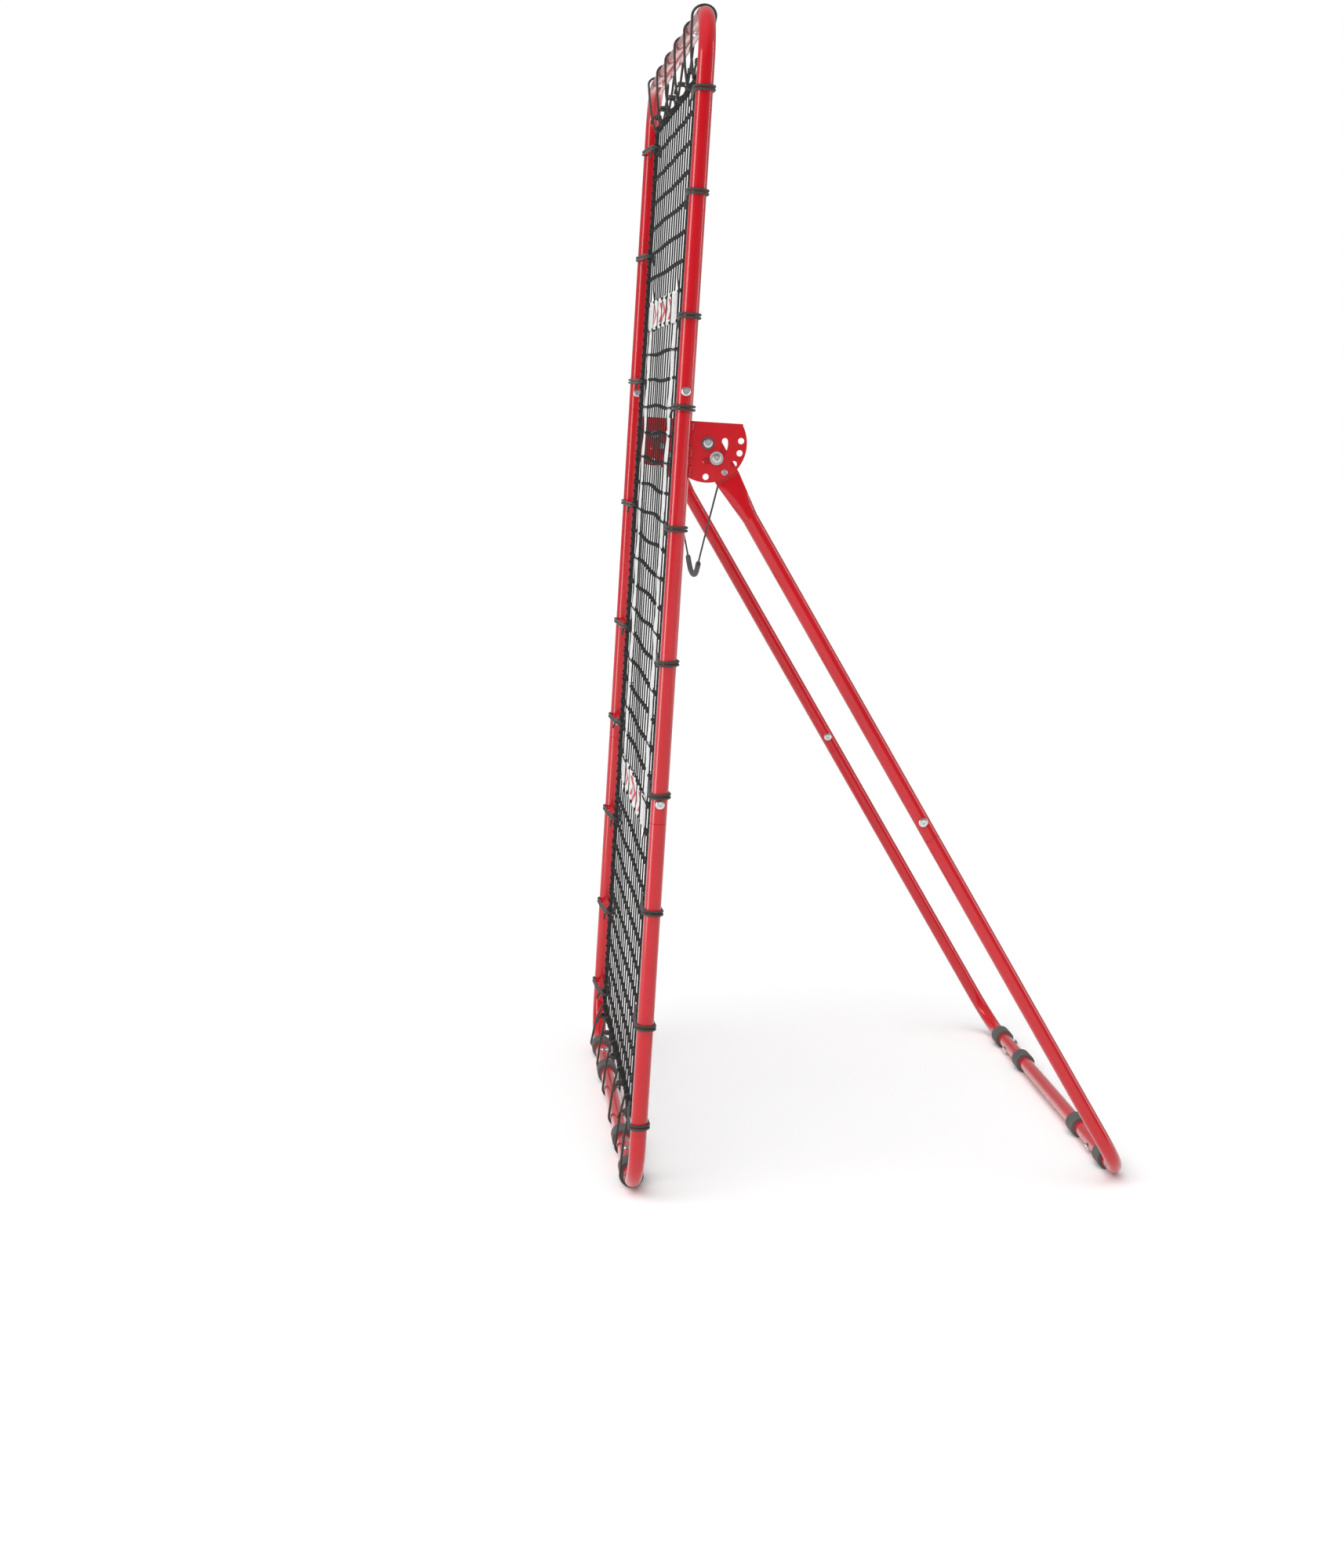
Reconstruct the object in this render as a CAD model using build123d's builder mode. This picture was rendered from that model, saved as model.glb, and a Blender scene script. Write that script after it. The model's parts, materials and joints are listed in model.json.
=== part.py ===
from build123d import *
from math import acos, atan2, cos, degrees, radians, sin
import os

os.makedirs("parts", exist_ok=True)

# A pitching target net: a leaning tube frame with a rebound net laced inside it, and a
# folding rear leg frame that turns on two slotted hinge plates. Millimetres, +Z up, the
# net faces -Y. The origin is on the ground, midway between the two bottom bars.

# ---- driving dimensions ----
post_radius = 12.7
leg_radius = 12.0
tube_wall = 1.2
post_spacing = 1014.6      # between the centres of the two posts
frame_height = 1764.6      # along the posts, between the centres of the two bars
lean = radians(3.85)       # of the net panel, backwards from upright
leg_slope = radians(29.7)  # of the legs, backwards from upright
bend_radius = 72.0         # of the tubes' corners, to the centreline
ring_thickness = 5.0
ring_length = 40.0
ring_press = 0.4           # how far the rubber is flattened where it stands
ring_clearance = 0.05

pivot_up = 1144.0          # leg pivot, up the posts from the bottom bar's centre
pivot_back = 38.0          # and behind the posts' centres

post_seams = (573.0, 1187.0)  # tube joints, up the posts
leg_seam = 688.0           # tube joint, down the legs from the pivot
bar_seam = 289.0           # tube joints on every bar, out from the middle
bolt_offset = 30.0         # from a seam to its bolt
bolt_clearance = 0.1       # round a bolt in its hole
pivot_clearance = 0.08
cut_margin = 1.0           # how far a cut reaches past the tube
seam_chamfer = 0.5         # on the outer edges of the tubes' ends
male_length = 45.0
male_clearance = 0.1
male_radius = post_radius - tube_wall - male_clearance
leg_male_radius = leg_radius - tube_wall - male_clearance

ring_places = (212.0, 392.0)  # rubber rings on both bottom bars, out from the middle

net_columns = 17
net_rows = 36
mesh = 44.5                # of one net square, up the panel
net_half_width = 381.0
net_bottom = 81.0          # border rope's centre, up from the bottom bar's centre
net_top = net_bottom + net_rows * mesh
net_thickness = 1.0
rope_radius = 3.0
rope_corner = 8.0
net_inset = 8.0            # from the border rope's centre to the net sheet's edge

webbing_width = 50.0
webbing_thickness = 1.2
strap_gap = 0.3            # between the net sheet and the straps
band_gap = 0.1             # between the straps and the bands
zone_rows = (10.5, 28.5)   # rows of the strike zone's two bands
zone_half_width = 5.5 * 2 * net_half_width / net_columns

bungee_radius = 2.0
tie_clearance = 0.3
left_tie_rows = (0.5, 4, 8, 12, 16, 21, 26, 31, 35.3)
right_tie_rows = (0.5, 4, 8, 12, 16.5, 21, 25, 28, 32, 35.3)
straight_tie_places = (90.0, 265.0)
corner_tie_on_bar = 426.0
corner_tie_on_net = 372.0

plate_thickness = 3.0
plate_radius = 58.0        # of the hinge plate's round edge, about the pivot
plate_top = 31.0           # straight top edge, above the pivot
plate_corner = 50.5        # top edge's rear end, behind the pivot
plate_front = 26.0         # welded edge, in front of the pivot
lock_radius = 49.5         # circle of the lock holes
lock_hole_radius = 4.6
lock_angles = (-7.0, 14.0, 35.0, 90.0)  # below square to the post, besides the one in use
slot_radius = 25.6
slot_width = 9.0
slot_ends = (-10.0, 93.0)

flat_thickness = 3.0       # flattened leg end
flat_width = 38.0
flat_edge = 1.47           # rounding of its edges
flat_length = 62.0         # from the pivot to the crease
taper_length = 65.0        # from the crease to the round tube
hinge_gap = 0.3            # between plate and leg
pivot_bolt_radius = 4.0
guide_bolt_radius = 3.0
splice_bolt_radius = 3.0
splice_hole_radius = splice_bolt_radius + bolt_clearance
socket_radius = 2.3        # hexagon socket in every round head, to its corners
socket_depth = 2.2

pin_radius = 4.5
barrel_radius = 10.0
barrel_length = 26.0

cord_radius = 1.5
handle_radius = 4.4
handle_bore = 1.7

# ---- places worked out from them ----
bar_height = post_radius + ring_thickness - ring_press
leg_bar_height = leg_radius + ring_thickness - ring_press
half_spacing = post_spacing / 2
leg_x = half_spacing - (plate_thickness + flat_thickness) / 2 - hinge_gap
pivot_rise = pivot_up * cos(lean) - pivot_back * sin(lean)
pivot_z = bar_height + pivot_rise
leg_length = (pivot_z - leg_bar_height) / cos(leg_slope)
pivot_reach = pivot_up * sin(lean) + pivot_back * cos(lean)
foot_spread = pivot_reach + leg_length * sin(leg_slope)
bar_y = (post_radius - leg_radius - foot_spread) / 2
pivot_y = bar_y + pivot_reach

# Local planes: x to the right, y up the tube frame, z forwards out of it.
panel = Plane(origin=(0, bar_y, bar_height), x_dir=(1, 0, 0), z_dir=(0, -cos(lean), sin(lean)))
legs = Plane(origin=(0, pivot_y, pivot_z), x_dir=(1, 0, 0), z_dir=(0, -cos(leg_slope), -sin(leg_slope)))
lock_direction = 90.0 - degrees(lean + leg_slope)  # of the legs, below square to the post

sides = {"left": -1, "right": 1}
right, up, front = (1, 0, 0), (0, 1, 0), (0, 0, 1)  # in a local plane's own axes
post_cut = post_radius + cut_margin
leg_cut = leg_radius + cut_margin


def turned(base, vector):
    """A direction given in a local plane's own axes, as a global one."""
    x, y, z = vector
    return base.x_dir * x + base.y_dir * y + base.z_dir * z


def plane_at(base, point, normal, x_dir=None):
    """A plane at a point of a local plane, facing along a direction of it."""
    axis = turned(base, x_dir) if x_dir else None
    return Plane(origin=base.from_local_coords(Vector(*point)), x_dir=axis, z_dir=turned(base, normal))


def cut_bolt_hole(base, point, axis, radius, reach):
    """A round hole right through the open part, along an axis of a local plane."""
    with BuildSketch(plane_at(base, point, axis)) as hole:
        Circle(radius)
    extrude(hole.sketch, amount=reach, both=True, mode=Mode.SUBTRACT)


def add_male_end(base, seam, away, outer, inner_tube):
    """The narrow tube that reaches past a seam into the next tube, and its shoulder."""
    with BuildSketch(plane_at(base, seam, away)) as male:
        Circle(inner_tube)
        Circle(inner_tube - tube_wall, mode=Mode.SUBTRACT)
    extrude(male.sketch, amount=male_length)
    with BuildSketch(plane_at(base, seam, away)) as shoulder:
        Circle(outer)
        Circle(inner_tube - tube_wall, mode=Mode.SUBTRACT)
    extrude(shoulder.sketch, amount=-tube_wall * 2)


def add_tube(base, points, radius):
    """A hollow round tube along points of a local plane, with its corners bent."""
    with BuildLine(base) as route:
        if len(points) == 2:
            Line(*points)
        else:
            FilletPolyline(*points, radius=bend_radius)
    with BuildSketch(Plane(origin=route.line @ 0, z_dir=route.line % 0)) as section:
        Circle(radius)
        Circle(radius - tube_wall, mode=Mode.SUBTRACT)
    sweep(section.sketch, path=route.line)


def ease_ends(tube, radius):
    """A small chamfer round each end of a finished tube, so that its seams show as grooves."""
    for face in tube.faces().filter_by(GeomType.PLANE):
        rim = face.outer_wire().edges()
        if len(rim) == 1 and rim[0].geom_type == GeomType.CIRCLE and abs(rim[0].radius - radius) < 0.01:
            chamfer(rim, seam_chamfer)


def cut_socket(base, point, axis):
    """A hexagon socket in the top of a round head."""
    with BuildSketch(plane_at(base, point, axis)) as socket:
        RegularPolygon(radius=socket_radius, side_count=6)
    extrude(socket.sketch, amount=-socket_depth, mode=Mode.SUBTRACT)


def along(point, step, distance):
    """A point moved along a direction."""
    return tuple(p + s * distance for p, s in zip(point, step))


def finish(part, label):
    """Names a finished part and writes it out."""
    part.part.label = label
    export_step(part.part, f"parts/{label}.step")


# ---- panel frame tubes ----
seam_low, seam_high = post_seams

for side, sign in sides.items():
    post_x = sign * half_spacing
    low_seam = (post_x, seam_low, 0)
    high_seam = (post_x, seam_high, 0)
    inward_end = sign * bar_seam

    with BuildPart() as upper_corner:
        add_tube(panel, [(post_x, seam_high), (post_x, frame_height), (inward_end, frame_height)], post_radius)
        cut_bolt_hole(panel, along(high_seam, up, bolt_offset), right, splice_hole_radius, post_cut)
        top_bolt = (sign * (bar_seam + bolt_offset), frame_height, 0)
        cut_bolt_hole(panel, top_bolt, up, splice_hole_radius, post_cut)
        ease_ends(upper_corner, post_radius)
    finish(upper_corner, f"upper_corner_{side}")

    with BuildPart() as mid_post:
        add_tube(panel, [(post_x, seam_low), (post_x, seam_high)], post_radius)
        add_male_end(panel, high_seam, up, post_radius, male_radius)
        cut_bolt_hole(panel, along(high_seam, up, bolt_offset), right, splice_hole_radius, post_cut)
        cut_bolt_hole(panel, along(low_seam, up, bolt_offset), right, splice_hole_radius, post_cut)
        ease_ends(mid_post, post_radius)
    finish(mid_post, f"mid_post_{side}")

    with BuildPart() as lower_corner:
        add_tube(panel, [(post_x, seam_low), (post_x, 0), (inward_end, 0)], post_radius)
        add_male_end(panel, low_seam, up, post_radius, male_radius)
        cut_bolt_hole(panel, along(low_seam, up, bolt_offset), right, splice_hole_radius, post_cut)
        low_bolt = (sign * (bar_seam + bolt_offset), 0, 0)
        cut_bolt_hole(panel, low_bolt, up, splice_hole_radius, post_cut)
        ease_ends(lower_corner, post_radius)
    finish(lower_corner, f"lower_corner_{side}")

for name, height in (("top_bar", frame_height), ("bottom_bar", 0)):
    with BuildPart() as bar:
        add_tube(panel, [(-bar_seam, height), (bar_seam, height)], post_radius)
        for sign in sides.values():
            seam = (sign * bar_seam, height, 0)
            add_male_end(panel, seam, (sign, 0, 0), post_radius, male_radius)
            bolt = along(seam, (sign, 0, 0), bolt_offset)
            cut_bolt_hole(panel, bolt, up, splice_hole_radius, post_cut)
        ease_ends(bar, post_radius)
    finish(bar, name)

# ---- leg frame tubes ----
for side, sign in sides.items():
    tube_x = sign * leg_x
    seam = (tube_x, -leg_seam, 0)
    taper_start = -flat_length
    taper_end = -flat_length - taper_length

    with BuildPart() as upper_leg:
        add_tube(legs, [(tube_x, taper_end), (tube_x, -leg_seam)], leg_radius)
        flat_plane = plane_at(legs, (tube_x, taper_start, 0), (0, -1, 0), right)
        round_plane = plane_at(legs, (tube_x, taper_end, 0), (0, -1, 0), right)
        with BuildSketch(flat_plane):
            RectangleRounded(flat_thickness, flat_width, flat_edge)
        with BuildSketch(round_plane):
            Circle(leg_radius)
        loft()
        with BuildSketch(plane_at(legs, (tube_x, 0, 0), right, up)):
            Circle(flat_width / 2)
            with Locations((-flat_length / 2, 0)):
                Rectangle(flat_length, flat_width)
        extrude(amount=flat_thickness / 2, both=True)
        for spot, radius in (
            ((tube_x, 0, 0), pivot_bolt_radius + pivot_clearance),
            ((tube_x, -slot_radius, 0), guide_bolt_radius + bolt_clearance),
            ((tube_x, -lock_radius, 0), lock_hole_radius),
        ):
            cut_bolt_hole(legs, spot, right, radius, flat_thickness)
        bolt = along(seam, up, bolt_offset)
        cut_bolt_hole(legs, bolt, right, splice_hole_radius, leg_cut)
        ease_ends(upper_leg, leg_radius)
    finish(upper_leg, f"upper_leg_{side}")

    with BuildPart() as lower_leg:
        leg_end = (sign * bar_seam, -leg_length)
        add_tube(legs, [(tube_x, -leg_seam), (tube_x, -leg_length), leg_end], leg_radius)
        add_male_end(legs, seam, up, leg_radius, leg_male_radius)
        cut_bolt_hole(legs, bolt, right, splice_hole_radius, leg_cut)
        low_bolt = (sign * (bar_seam + bolt_offset), -leg_length, 0)
        cut_bolt_hole(legs, low_bolt, front, splice_hole_radius, leg_cut)
        ease_ends(lower_leg, leg_radius)
    finish(lower_leg, f"lower_leg_{side}")

with BuildPart() as leg_bar:
    add_tube(legs, [(-bar_seam, -leg_length), (bar_seam, -leg_length)], leg_radius)
    for sign in sides.values():
        seam = (sign * bar_seam, -leg_length, 0)
        add_male_end(legs, seam, (sign, 0, 0), leg_radius, leg_male_radius)
        bolt = along(seam, (sign, 0, 0), bolt_offset)
        cut_bolt_hole(legs, bolt, front, splice_hole_radius, leg_cut)
    ease_ends(leg_bar, leg_radius)
finish(leg_bar, "leg_bottom_bar")

# ---- splice bolts and barrel nuts ----
head_radius = 7.0
head_height = 3.2
head_dome = 2.56           # rounding of the head's top edge
nut_reach = 4.0            # from the bolt's tip to the tube's other side


def add_bolt(base, middle, axis, tube_radius):
    """A round-headed bolt whose head rests on the tube's crest."""
    with BuildSketch(plane_at(base, along(middle, axis, tube_radius), axis)) as head:
        Circle(head_radius)
    dome = extrude(head.sketch, amount=head_height)
    fillet(dome.faces().sort_by(Axis(dome.center(), turned(base, axis)))[-1].edges(), head_dome)
    with BuildSketch(plane_at(base, along(middle, axis, tube_radius), axis)) as shank:
        Circle(splice_bolt_radius)
    extrude(shank.sketch, amount=nut_reach - 2 * tube_radius)
    cut_socket(base, along(middle, axis, tube_radius + head_height), axis)


def add_barrel_nut(base, middle, axis, tube_radius):
    """The round nut that meets a bolt from the tube's other side."""
    back = tuple(-a for a in axis)
    with BuildSketch(plane_at(base, along(middle, back, tube_radius), back)) as head:
        Circle(head_radius)
    dome = extrude(head.sketch, amount=head_height)
    fillet(dome.faces().sort_by(Axis(dome.center(), turned(base, back)))[-1].edges(), head_dome)
    cut_socket(base, along(middle, back, tube_radius + head_height), back)


panel_bolts = []
leg_bolts = []
for sign in sides.values():
    outward = (sign, 0, 0)
    panel_bolts += [((sign * half_spacing, seam + bolt_offset, 0), outward) for seam in post_seams]
    bar_bolt = sign * (bar_seam + bolt_offset)
    panel_bolts += [((bar_bolt, height, 0), up) for height in (0, frame_height)]
    leg_bolts.append(((sign * leg_x, -leg_seam + bolt_offset, 0), outward))
    leg_bolts.append(((bar_bolt, -leg_length, 0), (0, 0, -1)))

for name, base, bolts, tube_radius in (
    ("panel_splice", panel, panel_bolts, post_radius),
    ("leg_splice", legs, leg_bolts, leg_radius),
):
    with BuildPart() as bolt_set:
        for middle, axis in bolts:
            add_bolt(base, middle, axis, tube_radius)
    finish(bolt_set, f"{name}_bolts")
    with BuildPart() as nut_set:
        for middle, axis in bolts:
            add_barrel_nut(base, middle, axis, tube_radius)
    finish(nut_set, f"{name}_nuts")

# ---- rubber rings that the bottom bars stand on ----
for name, base, height, tube_radius in (
    ("panel_foot_rings", panel, 0, post_radius),
    ("leg_foot_rings", legs, -leg_length, leg_radius),
):
    with BuildPart() as rings:
        for place in ring_places:
            for sign in sides.values():
                with BuildSketch(plane_at(base, (sign * place, height, 0), right)):
                    Circle(tube_radius + ring_thickness)
                    Circle(tube_radius + ring_clearance, mode=Mode.SUBTRACT)
                extrude(amount=ring_length / 2, both=True)
        split(bisect_by=Plane.XY, keep=Keep.TOP)
    finish(rings, name)

# ---- hinge plates, welded to the backs of the posts ----
arc_top = (plate_radius**2 - plate_corner**2) ** 0.5
arc_bottom = (plate_radius**2 - plate_front**2) ** 0.5
arc_angle = (atan2(arc_top, plate_corner) + atan2(-arc_bottom, -plate_front)) / 2
arc_middle = (plate_radius * cos(arc_angle), plate_radius * sin(arc_angle))
slot_line = CenterArc((0, 0), slot_radius, -slot_ends[1], slot_ends[1] - slot_ends[0])

for side, sign in sides.items():
    # Seen from the right: x backwards, y up the post.
    plate_plane = plane_at(panel, (sign * half_spacing, pivot_up, -pivot_back), right, (0, 0, -1))
    with BuildPart() as plate:
        with BuildSketch(plate_plane):
            with BuildLine():
                Polyline(
                    (-plate_front, -arc_bottom),
                    (-plate_front, plate_top),
                    (plate_corner, plate_top),
                    (plate_corner, arc_top),
                )
                ThreePointArc((plate_corner, arc_top), arc_middle, (-plate_front, -arc_bottom))
            make_face()
            Circle(pivot_bolt_radius + pivot_clearance, mode=Mode.SUBTRACT)
            for angle in lock_angles + (lock_direction,):
                with PolarLocations(lock_radius, 1, -angle):
                    Circle(lock_hole_radius, mode=Mode.SUBTRACT)
            SlotArc(slot_line, slot_width, mode=Mode.SUBTRACT)
        extrude(amount=plate_thickness / 2, both=True)
    finish(plate, f"hinge_plate_{side}")


# ---- hinge hardware: how far out from the plate's middle each piece starts and ends ----
plate_face = plate_thickness / 2
leg_face = plate_face + hinge_gap + flat_thickness
hinge_head_height = 4.0
hinge_head_dome = 2.5
washer = 1.5
washer_clearance = 0.15
nut_height = 6.0
nut_clearance = 0.05
tip_reach = 7.5            # of a bolt, past its nut's near face


def add_disc(base, point, outward, start, end, radius, bore=0.0):
    """A round piece across the hinge, from start to end out of the plate's middle."""
    with BuildSketch(plane_at(base, along(point, outward, start), outward)) as disc:
        Circle(radius)
        if bore:
            Circle(bore, mode=Mode.SUBTRACT)
    return extrude(disc.sketch, amount=end - start)


def add_nut(base, point, outward, start, end, across, bore):
    """A hexagon nut on the inside of the hinge."""
    with BuildSketch(plane_at(base, along(point, outward, start), outward)) as hexagon:
        RegularPolygon(radius=across / 2, side_count=6, major_radius=False)
        Circle(bore, mode=Mode.SUBTRACT)
    extrude(hexagon.sketch, amount=end - start)


def add_hinge_bolt(base, point, outward, under_head, tip, shank, head):
    """A round-headed hinge bolt, its head outside the plate and its tip inside the leg."""
    crown = add_disc(base, point, outward, under_head, under_head + hinge_head_height, head)
    fillet(crown.faces().sort_by(Axis(crown.center(), turned(base, outward)))[-1].edges(), hinge_head_dome)
    add_disc(base, point, outward, tip, under_head, shank)
    cut_socket(base, along(point, outward, under_head + hinge_head_height), outward)


def each_hinge(up_from_origin, back):
    """The same point of both hinges, in a local plane, with the way outwards."""
    return [((sign * half_spacing, up_from_origin, back), (sign, 0, 0)) for sign in sides.values()]


# Name, plane, points, then the radii of shank, washer and head, the nut's width across its
# flats, and the gaps outside and inside.
hinge_sets = (
    ("pivot", panel, each_hinge(pivot_up, -pivot_back), pivot_bolt_radius, 9.5, 7.0, 13.0, 0.0, hinge_gap),
    ("guide", legs, each_hinge(-slot_radius, 0), guide_bolt_radius, 10.0, 6.5, 10.0, hinge_gap, 0.0),
)
for name, base, points, shank, washer_radius, head, across, outer_gap, inner_gap in hinge_sets:
    under_washer = plate_face + outer_gap
    nut_face = -leg_face - inner_gap
    with BuildPart() as hinge_bolts:
        for point, outward in points:
            add_hinge_bolt(base, point, outward, under_washer + washer, nut_face - tip_reach, shank, head)
    finish(hinge_bolts, f"{name}_bolts")
    with BuildPart() as washers:
        for point, outward in points:
            add_disc(base, point, outward, under_washer, under_washer + washer, washer_radius, shank + washer_clearance)
    finish(washers, f"{name}_washers")
    with BuildPart() as nuts:
        for point, outward in points:
            add_nut(base, point, outward, nut_face - nut_height, nut_face, across, shank + nut_clearance)
    finish(nuts, f"{name}_nuts")

# ---- sprung release pins that lock the legs to the plates ----
collar_face = leg_face + 0.5
collar = 3.0
collar_radius = 7.5
collar_back = collar_face + collar
nose_end = plate_face + 1.5
nose_chamfer = 0.8
barrel_bore = 8.0
barrel_end = leg_face + barrel_length
end_wall = 3.0
end_wall_bore = 3.1
tail_radius = 3.0
tail_end = barrel_end + 9.0
button = 4.0
button_radius = 5.0
spring_gap = 0.3
spring_wire = 0.6
spring_radius = 6.2
spring_turns = 5

for (point, outward), side in zip(each_hinge(-lock_radius, 0), sides):
    with BuildPart() as barrel:
        add_disc(legs, point, outward, -barrel_end + end_wall, -leg_face, barrel_radius, barrel_bore)
        add_disc(legs, point, outward, -barrel_end, -barrel_end + end_wall, barrel_radius, end_wall_bore)
    finish(barrel, f"pin_barrel_{side}")

    with BuildPart() as pin:
        nose = add_disc(legs, point, outward, -collar_face, nose_end, pin_radius)
        chamfer(nose.faces().sort_by(Axis(nose.center(), turned(legs, outward)))[-1].edges(), nose_chamfer)
        add_disc(legs, point, outward, -collar_back, -collar_face, collar_radius)
        add_disc(legs, point, outward, -tail_end, -collar_back, tail_radius)
        add_disc(legs, point, outward, -tail_end, -tail_end + button, button_radius)
    finish(pin, f"release_pin_{side}")

    spring_start = -collar_back - spring_wire - spring_gap
    spring_length = barrel_end - end_wall - collar_back - 2 * (spring_wire + spring_gap)
    helix_plane = plane_at(legs, along(point, outward, spring_start), (-outward[0], 0, 0), up)
    with BuildPart() as spring:
        coil = Helix(pitch=spring_length / spring_turns, height=spring_length, radius=spring_radius)
        coil = helix_plane * coil
        with BuildSketch(Plane(origin=coil @ 0, z_dir=coil % 0)):
            Circle(spring_wire)
        sweep(path=coil, is_frenet=True)
    finish(spring, f"pin_spring_{side}")

# ---- pull cord and its handle, hanging straight down between the pins ----
pin_line = legs.from_local_coords(Vector(0, -lock_radius, 0))
hanging = Plane(origin=pin_line, x_dir=(1, 0, 0), z_dir=(0, -1, 0))
cord_gap = 0.6             # between the cord's end and the pin's button
bend_share = 0.45          # of a run, taken up by the bend at each of its ends
cord_end = half_spacing - tail_end - cord_gap
right_half = [(cord_end, 0), (118.0, -146.0), (66.0, -175.0), (24.0, -184.0)]
cord_points = right_half + [(-x, y) for x, y in reversed(right_half)]
cord_corners = []
for before, corner, after in zip(cord_points, cord_points[1:], cord_points[2:]):
    run_in = Vector(*corner) - Vector(*before)
    run_out = Vector(*after) - Vector(*corner)
    turn = radians(run_in.get_angle(run_out))
    shorter = min(run_in.length, run_out.length)
    cord_corners.append(bend_share * shorter * cos(turn / 2) / sin(turn / 2))

with BuildPart() as pull_cord:
    with BuildLine(hanging) as cord_route:
        FilletPolyline(*cord_points, radius=cord_corners)
    with BuildSketch(Plane(origin=cord_route.line @ 0, z_dir=cord_route.line % 0)):
        Circle(cord_radius)
    sweep(path=cord_route.line)
finish(pull_cord, "pull_cord")

handle_end = ((cord_points[1][0] + cord_points[2][0]) / 2, (cord_points[1][1] + cord_points[2][1]) / 2)
handle_points = [handle_end] + cord_points[2:-2] + [(-handle_end[0], handle_end[1])]

with BuildPart() as pull_handle:
    with BuildLine(hanging) as handle_route:
        FilletPolyline(*handle_points, radius=cord_corners[1:-1])
    with BuildSketch(Plane(origin=handle_route.line @ 0, z_dir=handle_route.line % 0)):
        Circle(handle_radius)
        Circle(handle_bore, mode=Mode.SUBTRACT)
    sweep(path=handle_route.line)
finish(pull_handle, "pull_handle")

# ---- rebound net: a thin sheet inside a border rope ----
with BuildPart() as net:
    with BuildSketch(plane_at(panel, (0, (net_bottom + net_top) / 2, 0), front, right)):
        sheet_width = 2 * (net_half_width - net_inset)
        sheet_height = net_top - net_bottom - 2 * net_inset
        RectangleRounded(sheet_width, sheet_height, rope_corner)
    extrude(amount=net_thickness / 2, both=True)
finish(net, "rebound_net")

with BuildPart() as border_rope:
    with BuildLine(panel) as rope_outline:
        FilletPolyline(
            (-net_half_width, net_bottom),
            (net_half_width, net_bottom),
            (net_half_width, net_top),
            (-net_half_width, net_top),
            radius=rope_corner,
            close=True,
        )
    rope_path = rope_outline.wire()
    with BuildSketch(Plane(origin=rope_path @ 0, z_dir=rope_path % 0)):
        Circle(rope_radius)
    sweep(path=rope_path)
finish(border_rope, "net_border_rope")

# ---- strike zone: two bands and two straps of webbing in front of the net ----
strap_layer = net_thickness / 2 + strap_gap
band_layer = strap_layer + webbing_thickness + band_gap
zone_low, zone_high = (net_bottom + row * mesh for row in zone_rows)


def webbing_strip(centre, width, height, layer):
    """One flat strip of webbing."""
    with BuildSketch(plane_at(panel, (centre[0], centre[1], layer), front, right)) as strip:
        Rectangle(width, height)
    extrude(strip.sketch, amount=webbing_thickness)


for name, height in (("bottom", zone_low), ("top", zone_high)):
    with BuildPart() as band:
        webbing_strip((0, height), 2 * zone_half_width + webbing_width, webbing_width, band_layer)
    finish(band, f"strike_zone_{name}_band")

for side, sign in sides.items():
    with BuildPart() as strap:
        strap_height = zone_high - zone_low + webbing_width
        middle_height = (zone_high + zone_low) / 2
        webbing_strip((sign * zone_half_width, middle_height), webbing_width, strap_height, strap_layer)
    finish(strap, f"strike_zone_strap_{side}")

# ---- bungee ties between the border rope and the frame ----
oval = cos(atan2(corner_tie_on_bar - corner_tie_on_net, net_bottom))


def add_tie(start, end, squeeze=1.0):
    """One closed bungee loop round a tube and the border rope, both oval where it slants."""
    run = Vector(*end) - Vector(*start)
    tube_loop = post_radius / squeeze + tie_clearance + bungee_radius
    rope_loop = rope_radius / squeeze + tie_clearance + bungee_radius
    slant = acos((tube_loop - rope_loop) / run.length)
    near = Vector(tube_loop * cos(slant), tube_loop * sin(slant))
    far = Vector(run.length + rope_loop * cos(slant), rope_loop * sin(slant))
    step = run.normalized()
    loop_plane = plane_at(panel, start, tuple(step.cross(Vector(*front))), tuple(step))
    with BuildLine(loop_plane) as loop:
        Line((near.X, near.Y), (far.X, far.Y))
        ThreePointArc((far.X, far.Y), (run.length + rope_loop, 0), (far.X, -far.Y))
        Line((far.X, -far.Y), (near.X, -near.Y))
        ThreePointArc((near.X, -near.Y), (-tube_loop, 0), (near.X, near.Y))
    wire = loop.wire()
    with BuildSketch(Plane(origin=wire @ 0, z_dir=wire % 0)) as section:
        Circle(bungee_radius)
    sweep(section.sketch, path=wire)


for side, rows in (("left", left_tie_rows), ("right", right_tie_rows)):
    sign = sides[side]
    with BuildPart() as side_ties:
        for row in rows:
            height = net_bottom + row * mesh
            add_tie((sign * half_spacing, height, 0), (sign * net_half_width, height, 0))
    finish(side_ties, f"side_ties_{side}")

for name, bar_level, net_level in (("top", frame_height, net_top), ("bottom", 0, net_bottom)):
    with BuildPart() as bar_ties:
        for sign in sides.values():
            for place in straight_tie_places:
                add_tie((sign * place, bar_level, 0), (sign * place, net_level, 0))
            on_bar = (sign * corner_tie_on_bar, bar_level, 0)
            on_net = (sign * corner_tie_on_net, net_level, 0)
            add_tie(on_bar, on_net, oval)
    finish(bar_ties, f"{name}_ties")
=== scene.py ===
import bmesh
import bpy
import json
import math
import random
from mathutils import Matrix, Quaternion, Vector


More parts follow.
